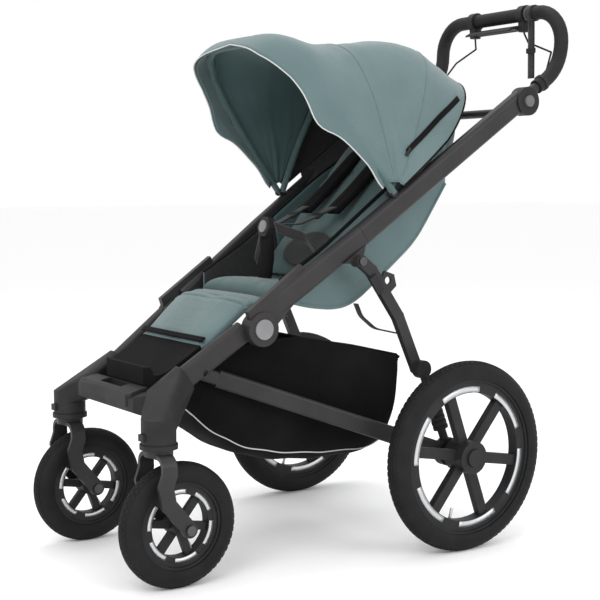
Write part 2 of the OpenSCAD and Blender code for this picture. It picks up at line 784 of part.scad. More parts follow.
module leg_rest() {
  color([0.48, 0.58, 0.57]) base() side_plate(-leg_half, leg_half)
    polygon([[108, 452], [113, 452 - pad_t * 0.6], [120, 440], [150, 466],
             [178, 500], [crest_y - 2, 516], [crest_y + 2, 522], [crest_y + 2, crest_z],
             [crest_y - 10, crest_z - 2], [150, 494]]);
}

module seat_base() {
  color([0.4, 0.5, 0.49]) base() side_plate(-seat_half, seat_half)
    polygon([[266, 552], [264, 530], [290, 514], [340, 506], [404, 508], [404, 540], [396, 556], [340, 556],
             [290, 558]]);
}

module seat_sides() {
  color([0.15, 0.15, 0.15]) base() both() side_plate(seat_half + 2, seat_half + 5)
    polygon([[270, 556], [270, 566], [500, 728], [560, 772], [590, 772], [500, 640], [430, 562], [400, 542],
             [300, 542]]);
}

back_angle = 49;
back_len = 440;
recline_pin_r = 5;                                 // rod that the backrest turns on

// Draws 2D in the backrest's own frame: x up the back, y towards the child.
module on_back() {
  translate([recline_y, recline_z]) rotate(back_angle) children();
}

module seat_back_pad() {
  color([0.4, 0.5, 0.49]) base() side_plate(-seat_half + 2, seat_half - 2) on_back()
    translate([12, 1]) polygon([[0, 4], [10, 0], [back_len - 20, 0], [back_len, 8], [back_len - 6, pad_t],
                               [14, pad_t], [2, pad_t - 6]]);
}

module seat_back_shell() {
  color([0.35, 0.45, 0.44]) base() {
    side_plate(-seat_half - 0.5, seat_half + 0.5) on_back()
      polygon([[2, 0.4], [back_len, 0.4], [back_len - 6, -14], [300, -38], [180, -46], [80, -38],
               [20, -22], [2, -8]]);
    x_cyl(-seat_half - 0.5, seat_half + 0.5, recline_y, recline_z, recline_pin_r);
  }
}

module shoulder_straps() {
  color("black") base() for (x = [-52, 52]) side_plate(x - 18, x + 18) on_back()
    strap_2d([[345, pad_t + 6], [250, pad_t + 7], [150, pad_t + 18], [70, pad_t + 60]], 7);
}

module lap_harness() {
  color("black") base() {
    // pad that stands up from the seat and carries the buckle
    side_plate(-17, 17) strap_2d([[322, 563], [330, 600], [330, 634]], 9);
    for (x = [-98, 98]) side_plate(x - 14, x + 14) strap_2d([[403, 604], [384, 640], [358, 664]], 5);
  }
}

module buckle() {
  color([0.2, 0.2, 0.2]) base() difference() {
    translate([0, 328, 668]) rotate([90 - 12, 0, 0]) translate([0, 0, -8])
      cylinder(h = 16, r = 24, $fn = 6);
    buckle_hole(13.4);
  }
}

module buckle_hole(r) {
  translate([0, 328, 668]) rotate([90 - 12, 0, 0]) translate([0, 0, 4]) cylinder(h = 20, r = r);
}

module buckle_button() {
  color("gray") base() translate([0, 328, 668]) rotate([90 - 12, 0, 0]) translate([0, 0, 6])
    cylinder(h = 5, r = 13);
}

// Basket: open at the top, narrow in front.
module basket_solid(t) {
  depth_top = 60 - t;
  front_half = 92 - t;
  rear_half = basket_half - t;
  intersection() {
    side_plate(-300, 300)
      polygon([[44 + t, 352], [134 + t, 262 + t], [212, 216 + t], [300, 196 + t], [400, 190 + t],
               [526 - t, 194 + t], [545 - t, 300], [550 - t, 392 + 2 * t], [320, 440 + 2 * t],
               [240, 430 + 2 * t], [depth_top + 30, 380 + 2 * t]]);
    linear_extrude(600) polygon([[-front_half, 20 + t], [front_half, 20 + t], [front_half + 14, 150],
      [rear_half, 460], [rear_half, 560 - t], [-rear_half, 560 - t], [-rear_half, 460],
      [-front_half - 14, 150]]);
  }
}

module basket() {
  color([0.07, 0.07, 0.07]) base() difference() {
    basket_solid(0);
    basket_solid(basket_t);
  }
}

// ---- canopy ----

// Outline of the canopy about its axis: u runs from 0 in the middle to 1 at its side.
function crown(u) = sqrt(1 - pow(u, 5));
CROWN_STEPS = [0, 0.25, 0.42, 0.56, 0.68, 0.78, 0.86, 0.92, 0.96, 0.985, 1];
canopy_eye = 20;                                   // radius left open around the axis
rear_canopy_r = canopy_r - 56;                     // the rear shell lies lower, inside the front one
rear_canopy_half = canopy_half - 14;
bow_r = 3;
bow_gap = 1.5;
bow_start = 128.5;

// Half section of a shell with outer radius r, half width w and thickness t.
module shell_half(r, w, t) {
  outer = [for (u = CROWN_STEPS) [max(crown(u) * r, canopy_eye), u * w]];
  inner = [for (i = [len(CROWN_STEPS) - 1 : -1 : 0]) let (u = CROWN_STEPS[i])
           [max(crown(u) * (r - t), canopy_eye), u * (w - t)]];
  polygon(concat(outer, inner));
}

// Shell sector from angle a0 to a1, counted from +Y towards +Z.
module canopy_shell(a0, a1, r, w) {
  translate([0, canopy_y, canopy_z]) rotate([90, 0, 90]) rotate([0, 0, a0])
    rotate_extrude(angle = a1 - a0, $fn = 128) {
      shell_half(r, w, canopy_t);
      mirror([0, 1]) shell_half(r, w, canopy_t);
    }
}

module canopy_rear() {
  color([0.47, 0.55, 0.54]) base()
    canopy_shell(canopy_low, canopy_split + 6, rear_canopy_r, rear_canopy_half);
}

module canopy_front() {
  color([0.47, 0.55, 0.54]) base()
    canopy_shell(canopy_split, canopy_low + canopy_sweep, canopy_r, canopy_half);
}

// Flat bow at angle a inside a shell of radius r and half width w.
module canopy_bow(a, r, w) {
  arch_r = r - canopy_t - bow_r - bow_gap;
  arch_w = w - canopy_t - bow_r - bow_gap;
  half = [for (u = [1, 0.99, 0.97, 0.9, 0.8, 0.66, 0.5, 0.33, 0]) [u * arch_w, crown(u) * arch_r]];
  translate([0, canopy_y, canopy_z]) rotate([a, 0, 0]) both() {
    linear_extrude(8, center = true) strap_2d(half, 2 * bow_r);
    x_cyl(arch_w - bow_r, arch_w + bow_r, 0, 0, 7);
  }
}

module canopy_bow_front() {
  color("silver") base() canopy_bow(bow_start, canopy_r, canopy_half);
}

module canopy_bow_rear() {
  color("silver") base() canopy_bow(canopy_low + 30, rear_canopy_r, rear_canopy_half);
}

front_casting();
barrel_collars();
step_panel();
lower_tube(1);  // lower_tube_left
lower_tube(-1);  // lower_tube_right
pivot_pins();
swivel_bushes();
footrest();
leg_rest();
basket();
swivel_lock(1);  // swivel_lock_left
swivel_lock(-1);  // swivel_lock_right
fork(1);  // fork_left
fork(-1);  // fork_right
front_axle(1);  // front_axle_left
front_axle(-1);  // front_axle_right
front_wheel(1);  // front_wheel_left
front_wheel(-1);  // front_wheel_right
front_tyre(1);  // front_tyre_left
front_tyre(-1);  // front_tyre_right
upper_tube(1);  // upper_tube_left
upper_tube(-1);  // upper_tube_right
hub_caps();
upper_crossbar();
pivot_housings();
seat_base();
seat_sides();
canopy_rear();
canopy_bow_rear();
lap_harness();
buckle();
buckle_button();
seat_back_pad();
seat_back_shell();
shoulder_straps();
canopy_front();
canopy_bow_front();
handlebar();
handle_grip();
wrist_strap();
brake_mount();
brake_cables();
brake_bar();
handle_release(1);  // handle_release_left
handle_release(-1);  // handle_release_right
strut(1);  // strut_left
strut(-1);  // strut_right
strut_pins();
rail(1);  // rail_left
rail(-1);  // rail_right
axle_carriers();
rear_axle();
gaiters();
rear_wheel(1);  // rear_wheel_left
rear_wheel(-1);  // rear_wheel_right
rear_tyre(1);  // rear_tyre_left
rear_tyre(-1);  // rear_tyre_right
hub_button(1);  // hub_button_left
hub_button(-1);  // hub_button_right
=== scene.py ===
"""Looks of a folding pushchair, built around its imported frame. Metres, +X child's left, -Y front, +Z up."""
import json
import math

import bmesh
import bpy
from mathutils import Matrix, Vector, noise


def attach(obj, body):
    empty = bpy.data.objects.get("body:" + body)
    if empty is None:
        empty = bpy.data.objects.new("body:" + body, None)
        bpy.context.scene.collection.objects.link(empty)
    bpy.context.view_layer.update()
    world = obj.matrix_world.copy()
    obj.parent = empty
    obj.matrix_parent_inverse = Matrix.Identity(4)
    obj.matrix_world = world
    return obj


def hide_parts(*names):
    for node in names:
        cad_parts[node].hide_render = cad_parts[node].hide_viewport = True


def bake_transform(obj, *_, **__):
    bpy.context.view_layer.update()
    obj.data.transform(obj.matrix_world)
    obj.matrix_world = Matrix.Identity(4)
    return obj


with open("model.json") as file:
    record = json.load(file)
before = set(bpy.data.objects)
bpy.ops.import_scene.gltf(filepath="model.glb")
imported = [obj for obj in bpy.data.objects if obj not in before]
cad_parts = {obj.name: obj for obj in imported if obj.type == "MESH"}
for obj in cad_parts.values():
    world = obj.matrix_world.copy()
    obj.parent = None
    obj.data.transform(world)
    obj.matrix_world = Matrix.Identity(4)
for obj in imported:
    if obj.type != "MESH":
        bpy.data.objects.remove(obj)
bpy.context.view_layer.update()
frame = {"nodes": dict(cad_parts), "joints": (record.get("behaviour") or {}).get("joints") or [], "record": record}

JOINT = {j["name"]: j for j in frame["joints"]}
AXLE_Y = JOINT["front_wheel_left_spin"]["pos_m"][1]
SIDES = ((1, "left"), (-1, "right"))


def at(x, y, z):
    """A point given behind the front axle's line."""
    return Vector((x, AXLE_Y + y, z))


def joint_at(name):
    x, y, z = JOINT[name]["pos_m"]
    return x, y - AXLE_Y, z


# ---------------------------------------------------------------- camera, floor and lights

CAMERA_AT = at(2.2755, -1.1273, 0.7554)
AZIMUTH, ELEVATION = math.radians(55.89), math.radians(5.13)
LENS = 76.43


def stage():
    back = Vector((math.sin(AZIMUTH) * math.cos(ELEVATION), -math.cos(AZIMUTH) * math.cos(ELEVATION),
                   math.sin(ELEVATION)))
    camera = bpy.data.cameras.new("camera")
    camera.lens = LENS
    camera.sensor_width = 36
    view = bpy.data.objects.new("camera", camera)
    view.location = CAMERA_AT
    view.rotation_euler = back.to_track_quat("Z", "Y").to_euler()
    bpy.context.collection.objects.link(view)
    bpy.context.scene.camera = view

    bm = bmesh.new()
    bmesh.ops.create_grid(bm, x_segments=1, y_segments=1, size=40)
    mesh = bpy.data.meshes.new("floor")
    bm.to_mesh(mesh)
    bm.free()
    floor = bpy.data.objects.new("floor", mesh)
    bpy.context.collection.objects.link(floor)
    mesh.materials.append(plain("floor_white", (0.97, 0.97, 0.97), 0.8))

    world = bpy.data.worlds.new("studio")
    world.use_nodes = True
    world.node_tree.nodes["Background"].inputs["Color"].default_value = (1, 1, 1, 1)
    world.node_tree.nodes["Background"].inputs["Strength"].default_value = 1.0
    bpy.context.scene.world = world
    bpy.context.scene.view_settings.view_transform = "Standard"
    lamp("key", at(1.6, -2.2, 2.6), at(0, 0.4, 0.5), 2.2, 46)
    lamp("side", at(3.0, 1.2, 1.8), at(0, 0.4, 0.6), 1.8, 30)
    lamp("top", at(-0.6, 0.6, 3.2), at(0, 0.5, 0.6), 2.4, 34)


def lamp(name, place, target, size, power):
    light = bpy.data.lights.new(name, "AREA")
    light.shape = "DISK"
    light.size = size
    light.energy = power
    obj = bpy.data.objects.new(name, light)
    obj.location = place
    obj.rotation_euler = (Vector(place) - Vector(target)).to_track_quat("Z", "Y").to_euler()
    bpy.context.collection.objects.link(obj)


# ---------------------------------------------------------------- materials


class Look:
    """A node material being put together."""

    def __init__(self, name, roughness, **shader):
        self.material = bpy.data.materials.new(name)
        self.material.use_nodes = True
        self.tree = self.material.node_tree
        self.shader = self.tree.nodes["Principled BSDF"]
        self.shader.inputs["Roughness"].default_value = roughness
        self.shader.inputs["Specular IOR Level"].default_value = 0.22
        for key, value in shader.items():
            self.shader.inputs[key.replace("_", " ")].default_value = value
        self.height = None

    def node(self, kind, **values):
        made = self.tree.nodes.new(kind)
        for key, value in values.items():
            if key in made.inputs:
                made.inputs[key].default_value = value
            else:
                setattr(made, key, value)
        return made

    def link(self, a, b):
        self.tree.links.new(a, b)

    def coordinates(self, turn=(0, 0, 0), stretch=(1, 1, 1)):
        source = self.node("ShaderNodeTexCoord")
        place = self.node("ShaderNodeMapping")
        place.inputs["Rotation"].default_value = turn
        place.inputs["Scale"].default_value = stretch
        self.link(source.outputs["Object"], place.inputs["Vector"])
        return place.outputs["Vector"]

    def noise(self, where, scale, detail=3.0):
        made = self.node("ShaderNodeTexNoise", Scale=scale, Detail=detail)
        self.link(where, made.inputs["Vector"])
        return made.outputs["Fac"]

    def wave(self, where, scale, axis="X", distortion=0.0):
        made = self.node("ShaderNodeTexWave", bands_direction=axis, Scale=scale, Distortion=distortion)
        self.link(where, made.inputs["Vector"])
        return made.outputs["Fac"]

    def colour(self, fac, dark, light, low=0.3, high=0.7):
        ramp = self.node("ShaderNodeValToRGB")
        ramp.color_ramp.elements[0].position = low
        ramp.color_ramp.elements[1].position = high
        ramp.color_ramp.elements[0].color = (*dark, 1)
        ramp.color_ramp.elements[1].color = (*light, 1)
        self.link(fac, ramp.inputs["Fac"])
        self.link(ramp.outputs["Color"], self.shader.inputs["Base Color"])

    def bump(self, fac, strength, distance):
        made = self.node("ShaderNodeBump", Strength=strength, Distance=distance)
        self.link(fac, made.inputs["Height"])
        if self.height:
            self.link(self.height, made.inputs["Normal"])
        self.height = made.outputs["Normal"]
        self.link(self.height, self.shader.inputs["Normal"])

    def math(self, kind, a, b):
        made = self.node("ShaderNodeMath", operation=kind)
        for slot, value in zip(made.inputs, (a, b)):
            if isinstance(value, (int, float)):
                slot.default_value = value
            else:
                self.link(value, slot)
        return made.outputs["Value"]


def plain(name, colour, roughness):
    look = Look(name, roughness)
    where = look.coordinates()
    look.colour(look.noise(where, 3), colour, colour)
    return look.material


def woven(name, dark, light, thread=0.0011, sheen=0.25, slope=-40.0, roughness=0.86):
    """Plain weave: two crossed sets of threads, with the cloth's slow variation of tone."""
    look = Look(name, roughness, Sheen_Weight=sheen, Sheen_Roughness=0.5)
    look.shader.inputs["Specular IOR Level"].default_value = min(sheen, 0.25)
    where = look.coordinates(turn=(math.radians(slope), 0, 0))
    scale = 2 * math.pi / 20 / thread
    across = look.wave(where, scale, "X")
    along = look.wave(where, scale, "Y")
    threads = look.math("MULTIPLY", across, along)
    tone = look.math("ADD", look.math("MULTIPLY", look.noise(where, 9, 6), 0.75),
                     look.math("MULTIPLY", look.noise(where, 700, 2), 0.25))
    look.colour(tone, dark, light, 0.32, 0.68)
    look.bump(threads, 0.35, thread * 0.35)
    look.bump(look.noise(where, 28, 4), 0.12, 0.003)
    return look.material


def mesh_cloth(name, dark, light):
    """Open knitted mesh: a grid of small holes."""
    look = Look(name, 0.8, Sheen_Weight=0.15)
    where = look.coordinates(turn=(math.radians(-40), 0, 0))
    cells = look.node("ShaderNodeTexVoronoi", Scale=420.0)
    look.link(where, cells.inputs["Vector"])
    look.colour(cells.outputs["Distance"], dark, light, 0.1, 0.6)
    look.bump(cells.outputs["Distance"], 0.5, 0.0012)
    return look.material


def paint(name, dark, light):
    """Satin powder coat with a fine orange-peel grain and lighter wear."""
    look = Look(name, 0.42)
    where = look.coordinates()
    look.colour(look.noise(where, 14, 8), dark, light, 0.35, 0.75)
    look.bump(look.noise(where, 1500, 2), 0.18, 0.0004)
    return look.material


def moulded(name, dark, light, roughness=0.55, grain=900):
    """Moulded plastic with a leather-like spark grain."""
    look = Look(name, roughness)
    where = look.coordinates()
    look.colour(look.noise(where, 22, 6), dark, light, 0.35, 0.7)
    cells = look.node("ShaderNodeTexVoronoi", Scale=float(grain))
    look.link(where, cells.inputs["Vector"])
    look.bump(cells.outputs["Distance"], 0.25, 0.0005)
    return look.material


def rubber(name, dark, light):
    look = Look(name, 0.72)
    where = look.coordinates()
    look.colour(look.noise(where, 30, 6), dark, light, 0.3, 0.75)
    look.bump(look.noise(where, 600, 4), 0.3, 0.0008)
    return look.material


def webbing(name, dark, light):
    """Ribbed strap cloth."""
    look = Look(name, 0.75, Sheen_Weight=0.2)
    where = look.coordinates(turn=(math.radians(-40), 0, 0))
    ribs = look.wave(where, 170, "X")
    look.colour(look.noise(where, 60, 4), dark, light)
    look.bump(ribs, 0.5, 0.0006)
    look.bump(look.wave(where, 300, "Y"), 0.3, 0.0004)
    return look.material


def metal(name, colour, roughness=0.3):
    look = Look(name, roughness, Metallic=1.0)
    where = look.coordinates(stretch=(1, 1, 30))
    look.colour(look.noise(where, 40, 5), tuple(c * 0.85 for c in colour), colour)
    look.bump(look.noise(where, 300, 3), 0.1, 0.0003)
    return look.material


TEAL_DARK, TEAL_LIGHT = (0.084, 0.130, 0.133), (0.108, 0.160, 0.164)
LOOKS = {
    "teal": woven("teal_cloth", TEAL_DARK, TEAL_LIGHT),
    # Darker copy of the teal cloth for the surfaces inside the canopy and seat: painted shade.
    "teal_painted_shade": woven("teal_painted_shade_copy", (0.050, 0.092, 0.092), (0.068, 0.118, 0.117)),
    "black_cloth": woven("black_cloth", (0.0045, 0.0045, 0.0045), (0.009, 0.009, 0.009), 0.0013, 0.03),
    "black_mesh": mesh_cloth("black_mesh", (0.006, 0.006, 0.006), (0.03, 0.03, 0.031)),
    "paint": paint("anthracite_paint", (0.022, 0.0205, 0.021), (0.030, 0.028, 0.0285)),
    "black_plastic": moulded("black_plastic", (0.012, 0.012, 0.013), (0.019, 0.019, 0.0205)),
    "grey_plastic": moulded("grey_plastic", (0.10, 0.10, 0.104), (0.135, 0.135, 0.14), 0.5),
    "tyre": rubber("tyre_rubber", (0.005, 0.005, 0.0053), (0.0095, 0.0095, 0.0098)),
    "gaiter": rubber("gaiter_rubber", (0.012, 0.012, 0.012), (0.02, 0.02, 0.02)),
    "grip": moulded("wrapped_grip", (0.009, 0.009, 0.009), (0.015, 0.015, 0.015), 0.65, 500),
    "webbing": webbing("webbing", (0.010, 0.010, 0.010), (0.02, 0.02, 0.02)),
    "steel": metal("steel", (0.55, 0.55, 0.56), 0.32),
    "dark_steel": metal("dark_steel", (0.10, 0.10, 0.105), 0.4),
    "cap_grey": moulded("cap_grey", (0.17, 0.17, 0.175), (0.21, 0.21, 0.215), 0.5, 700),
    "reflector": metal("reflective_silver", (0.6, 0.61, 0.62), 0.42),
    "piping": woven("light_piping", (0.45, 0.46, 0.455), (0.55, 0.56, 0.555), 0.0008, 0.1),
}
# CAD nodes that look unlike the rest of their slot
NODE_LOOKS = {
    "swivel_lock_left": "black_plastic", "swivel_lock_right": "black_plastic",
    "hub_button_left": "black_plastic", "hub_button_right": "black_plastic",
    "canopy_bow_front": "black_plastic", "canopy_bow_rear": "black_plastic",
    "front_axle_left": "dark_steel", "front_axle_right": "dark_steel", "strut_pins": "dark_steel",
    "hub_caps": "cap_grey", "buckle_button": "cap_grey", "buckle": "black_plastic", "footrest": "black_cloth"}
SLOT_LOOKS = {
    "frame_paint": "paint", "dark_plastic": "black_plastic", "grey_plastic": "grey_plastic",
    "tyre_rubber": "tyre", "gaiter_rubber": "gaiter", "grip_foam": "grip", "steel": "steel",
    "teal_fabric": "teal", "black_fabric": "black_cloth", "webbing": "webbing",
}


def dress_nodes():
    """Gives every CAD node the material of its record slot."""
    for part in frame["record"]["subparts"]:
        obj = frame["nodes"][part["node"]]
        obj.data.materials.clear()
        obj.data.materials.append(LOOKS[NODE_LOOKS.get(part["node"], SLOT_LOOKS[part["material_slot"]])])


# ---------------------------------------------------------------- making pieces


def piece(name, bm, look, smooth=True):
    """Turns a bmesh into an object with its material."""
    mesh = bpy.data.meshes.new(name)
    bm.to_mesh(mesh)
    bm.free()
    obj = bpy.data.objects.new(name, mesh)
    bpy.context.collection.objects.link(obj)
    mesh.materials.append(LOOKS[look])
    for face in mesh.polygons:
        face.use_smooth = smooth
    return obj


def sheet_of(name, nu, nv, place, look, thickness=0.0, offset=-1.0):
    """A grid whose points place(u, v) puts, u and v from 0 to 1, with a wall if it has a thickness."""
    bm = bmesh.new()
    bmesh.ops.create_grid(bm, x_segments=nu, y_segments=nv, size=0.5)
    for v in bm.verts:
        v.co = place(v.co.x + 0.5, v.co.y + 0.5)
    bmesh.ops.remove_doubles(bm, verts=bm.verts, dist=1e-5)
    bmesh.ops.recalc_face_normals(bm, faces=bm.faces)
    obj = piece(name, bm, look)
    if thickness:
        wall = obj.modifiers.new("wall", "SOLIDIFY")
        wall.thickness = thickness
        wall.offset = offset
        apply_modifiers(obj)
    return obj


def apply_modifiers(obj):
    """Replaces the mesh by its evaluated one."""
    graph = bpy.context.evaluated_depsgraph_get()
    graph.update()
    mesh = bpy.data.meshes.new_from_object(obj.evaluated_get(graph))
    obj.modifiers.clear()
    obj.data = mesh
    for face in mesh.polygons:
        face.use_smooth = True


def tube(name, points, radius, look, smooth_path=True):
    """A round cord or piping along points."""
    curve = bpy.data.curves.new(name, "CURVE")
    curve.dimensions = "3D"
    curve.bevel_depth = radius
    curve.bevel_resolution = 3
    curve.use_fill_caps = True
    curve.resolution_u = 6
    line = curve.splines.new("BEZIER" if smooth_path else "POLY")
    if smooth_path:
        line.bezier_points.add(len(points) - 1)
        for knot, p in zip(line.bezier_points, points):
            knot.co = p
            knot.handle_left_type = knot.handle_right_type = "AUTO"
    else:
        line.points.add(len(points) - 1)
        for knot, p in zip(line.points, points):
            knot.co = (*p, 1)
    holder = bpy.data.objects.new(name, curve)
    bpy.context.collection.objects.link(holder)
    graph = bpy.context.evaluated_depsgraph_get()
    graph.update()
    mesh = bpy.data.meshes.new_from_object(holder.evaluated_get(graph))
    bpy.data.objects.remove(holder)
    obj = bpy.data.objects.new(name, mesh)
    bpy.context.collection.objects.link(obj)
    mesh.materials.clear()
    mesh.materials.append(LOOKS[look])
    for face in mesh.polygons:
        face.use_smooth = True
    return obj


def along(points, t):
    """The point at share t of a polyline's length, for tuples of any size."""
    sizes = [math.dist(a, b) for a, b in zip(points, points[1:])]
    left = t * sum(sizes)
    for a, b, size in zip(points, points[1:], sizes):
        if left <= size or b is points[-1]:
            k = min(left / size, 1.0)
            return tuple(p + (q - p) * k for p, q in zip(a, b))
        left -= size


def smooth_along(points, t, reach=0.06):
    """As along, with the corners rounded over a share of the length."""
    steps = [-1.0, -0.5, 0.0, 0.5, 1.0]
    found = [along(points, min(max(t + s * reach * min(t, 1 - t, reach) / reach, 0), 1)) for s in steps]
    return tuple(sum(values) / len(steps) for values in zip(*found))


def strap(name, points, width, thickness, look="webbing", side=(1, 0, 0), steps=24):
    """A flat strap along points, its width along side."""
    across = Vector(side).normalized() * width / 2

    def place(u, v):
        return Vector(smooth_along(points, v)) + across * (2 * u - 1)

    return sheet_of(name, 4, steps, place, look, thickness, 0.0)


def pillow(name, path, half, thick, look, crown=0.006, across=(), lengthways=(), groove=0.004,
           around=112, steps=72, ruffle=0.0007):
    """A stuffed pad along a side-view path: half and thick are functions of v; across holds seams at a v,
    lengthways seams at a share of the half width."""
    rings = []
    for j in range(steps + 1):
        v = 0.5 - 0.5 * math.cos(math.pi * j / steps)
        y, z = smooth_along(path, v)
        y0, z0 = smooth_along(path, max(v - 0.02, 0))
        y1, z1 = smooth_along(path, min(v + 0.02, 1))
        length = math.hypot(y1 - y0, z1 - z0)
        ny, nz = -(z1 - z0) / length, (y1 - y0) / length
        close = (1 - abs(2 * v - 1) ** 12) ** 0.5
        ring = []
        for i in range(around):
            a = 2 * math.pi * i / around
            c, s = math.cos(a), math.sin(a)
            u = math.copysign(abs(c) ** 0.42, c)
            h = math.copysign(abs(s) ** 0.6, s) * thick(v) / 2 * close
            if s > 0:
                puff = crown * (1 - abs(u) ** 3) * (1 - abs(2 * v - 1) ** 4)
                dip = sum(math.exp(-((v - k) / 0.018) ** 2) for k in across)
                dip += sum(math.exp(-((u - k) / 0.03) ** 2) for k in lengthways)
                near = sum(math.exp(-abs(v - k) / 0.05) for k in across)
                near += sum(math.exp(-abs(u - k) / 0.12) for k in lengthways) + math.exp(-(1 - abs(u)) / 0.1)
                wave = ruffle * near * math.sin(83 * u + 5 * math.sin(19 * v)) * math.cos(61 * v + 3 * u)
                h += (puff + wave) * close - groove * min(dip, 1) * close
            ring.append(at(half(v) * u, y + ny * h, z + nz * h))
        rings.append(ring)
    bm = bmesh.new()
    loops = [[bm.verts.new(p) for p in ring] for ring in rings]
    for a, b in zip(loops, loops[1:]):
        for i in range(around):
            k = (i + 1) % around
            bm.faces.new((a[i], a[k], b[k], b[i]))
    bm.faces.new(loops[0])
    bm.faces.new(loops[-1])
    bmesh.ops.remove_doubles(bm, verts=bm.verts, dist=2e-5)
    bmesh.ops.recalc_face_normals(bm, faces=bm.faces)
    return piece(name, bm, look)


def rod(name, a, b, radius, look, segments=32, bevel=0.0):
    """A round bar or disc from a to b with softened rims."""
    a, b = Vector(a), Vector(b)
    bm = bmesh.new()
    bmesh.ops.create_cone(bm, cap_ends=True, segments=segments, radius1=radius, radius2=radius,
                          depth=(b - a).length)
    if bevel:
        edges = [e for e in bm.edges if abs(e.verts[0].co.z - e.verts[1].co.z) < 1e-7]
        bmesh.ops.bevel(bm, geom=edges, offset=bevel, segments=2, affect="EDGES", profile=0.5, material=-1)
    bm.transform(Matrix.Translation((a + b) / 2) @ (b - a).to_track_quat("Z", "Y").to_matrix().to_4x4())
    return piece(name, bm, look, segments > 8)


def block(name, centre, size, look, turn=0.0, bevel=0.0015):
    """A soft-edged box, turned about X by turn degrees."""
    bm = bmesh.new()
    bmesh.ops.create_cube(bm, size=1)
    for v in bm.verts:
        v.co = Vector(a * b for a, b in zip(v.co, size))
    bmesh.ops.bevel(bm, geom=list(bm.edges), offset=bevel, segments=2, affect="EDGES", profile=0.5,
                    material=-1)
    bm.transform(Matrix.Translation(centre) @ Matrix.Rotation(math.radians(turn), 4, "X"))
    return piece(name, bm, look, False)


def area_of(obj):
    return sum(face.area for face in obj.data.polygons)


# ---------------------------------------------------------------- canopy

ZIP = [(0.43, 45.5), (0.53, 47.5), (0.72, 55), (0.80, 61), (0.87, 71)]

CANOPY_Y, CANOPY_Z = 0.500, 0.740
CANOPY_SPREAD = math.radians(86)
BOXINESS = 5.0
# Radius of the canopy in the middle against its angle: cloth pulled straight between the bows
CROWN_LINE = ((36, 0.372), (45, 0.354), (50, 0.343), (59, 0.337), (67, 0.340), (77, 0.332), (90, 0.318),
              (101, 0.314), (112, 0.330), (119, 0.358), (124, 0.393), (128, 0.4010), (170, 0.4010))


def read(line, x):
    """Straight interpolation in a list of (x, value)."""
    for (x0, a), (x1, b) in zip(line, line[1:]):
        if x <= x1:
            return a + (b - a) * max(x - x0, 0) / (x1 - x0)
    return line[-1][1]


def crown_radius(degrees):
    return sum(read(CROWN_LINE, degrees + d) for d in (-3, -1.5, 0, 1.5, 3)) / 5


def canopy_u(t):
    return math.copysign(abs(math.sin(t * CANOPY_SPREAD)) ** (2 / BOXINESS), t)


def hem_angle(t):
    """Angle of the canopy's front edge."""
    s, u = math.cos(t * CANOPY_SPREAD), abs(canopy_u(t))
    side = 3 * min(max((0.8 - s) / 0.3, 0), 1) + 5 * math.exp(-((s - 0.55) / 0.1) ** 2)
    return 130.5 + 4.5 * min(u / 0.6, 1) + side + 22 * (max(0.22 - s, 0) / 0.15) ** 2


def rear_angle(t):
    s = math.cos(t * CANOPY_SPREAD)
    return 44 - 7 * min((1 - s) / 0.5, 1)


def canopy_point(t, degrees, grow=0.0):
    """t runs from -1 on the right side to 1 on the left, degrees from the rear over the top."""
    s = math.cos(t * CANOPY_SPREAD)
    half = 0.2250 - 0.0105 * min(max((degrees - 129) / 8, 0), 1)
    r = (crown_radius(degrees) + grow) * s
    a = math.radians(degrees)
    front_slack = math.sin(math.pi * min(max((degrees - 67) / 58, 0), 1))
    rear_slack = 0.6 * math.sin(math.pi * min(max((66 - degrees) / 26, 0), 1))
    folds = noise.noise(Vector((3.1 * t, degrees / 13 + 2.4 * t * t, 1.7))) + 0.5 * noise.noise(
        Vector((7 * t, degrees / 6 - 3 * t, 4.2)))
    tug = 0.0045 * (front_slack + rear_slack) * folds
    return at((half + grow + tug * (1 - s)) * canopy_u(t), CANOPY_Y + (r + tug) * math.cos(a),
              CANOPY_Z + (r + tug) * math.sin(a))


def canopy_share(t, v, grow=0.0):
    """As canopy_point with v from 0 at the rear edge to 1 at the front edge."""
    low, high = rear_angle(t), hem_angle(t)
    return canopy_point(t, low + (high - low) * v, grow)


def bend_canopy(obj):
    """Bakes the piece's transform into its mesh."""
    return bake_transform(obj, "upper_frame", "canopy", canopy_point(0, 60), canopy_point(0, 132))


def bow_line(degrees, radius, half):
    """Middle line of a bow from the right to the left."""
    shares = (1, 0.99, 0.97, 0.9, 0.8, 0.66, 0.5, 0.33, 0)
    arch = [(u * half, radius * math.sqrt(1 - u ** 5)) for u in shares]
    arch = [(-x, r) for x, r in arch] + arch[-2::-1]
    a = math.radians(degrees)
    return [at(x, CANOPY_Y + r * math.cos(a), CANOPY_Z + r * math.sin(a)) for x, r in arch]


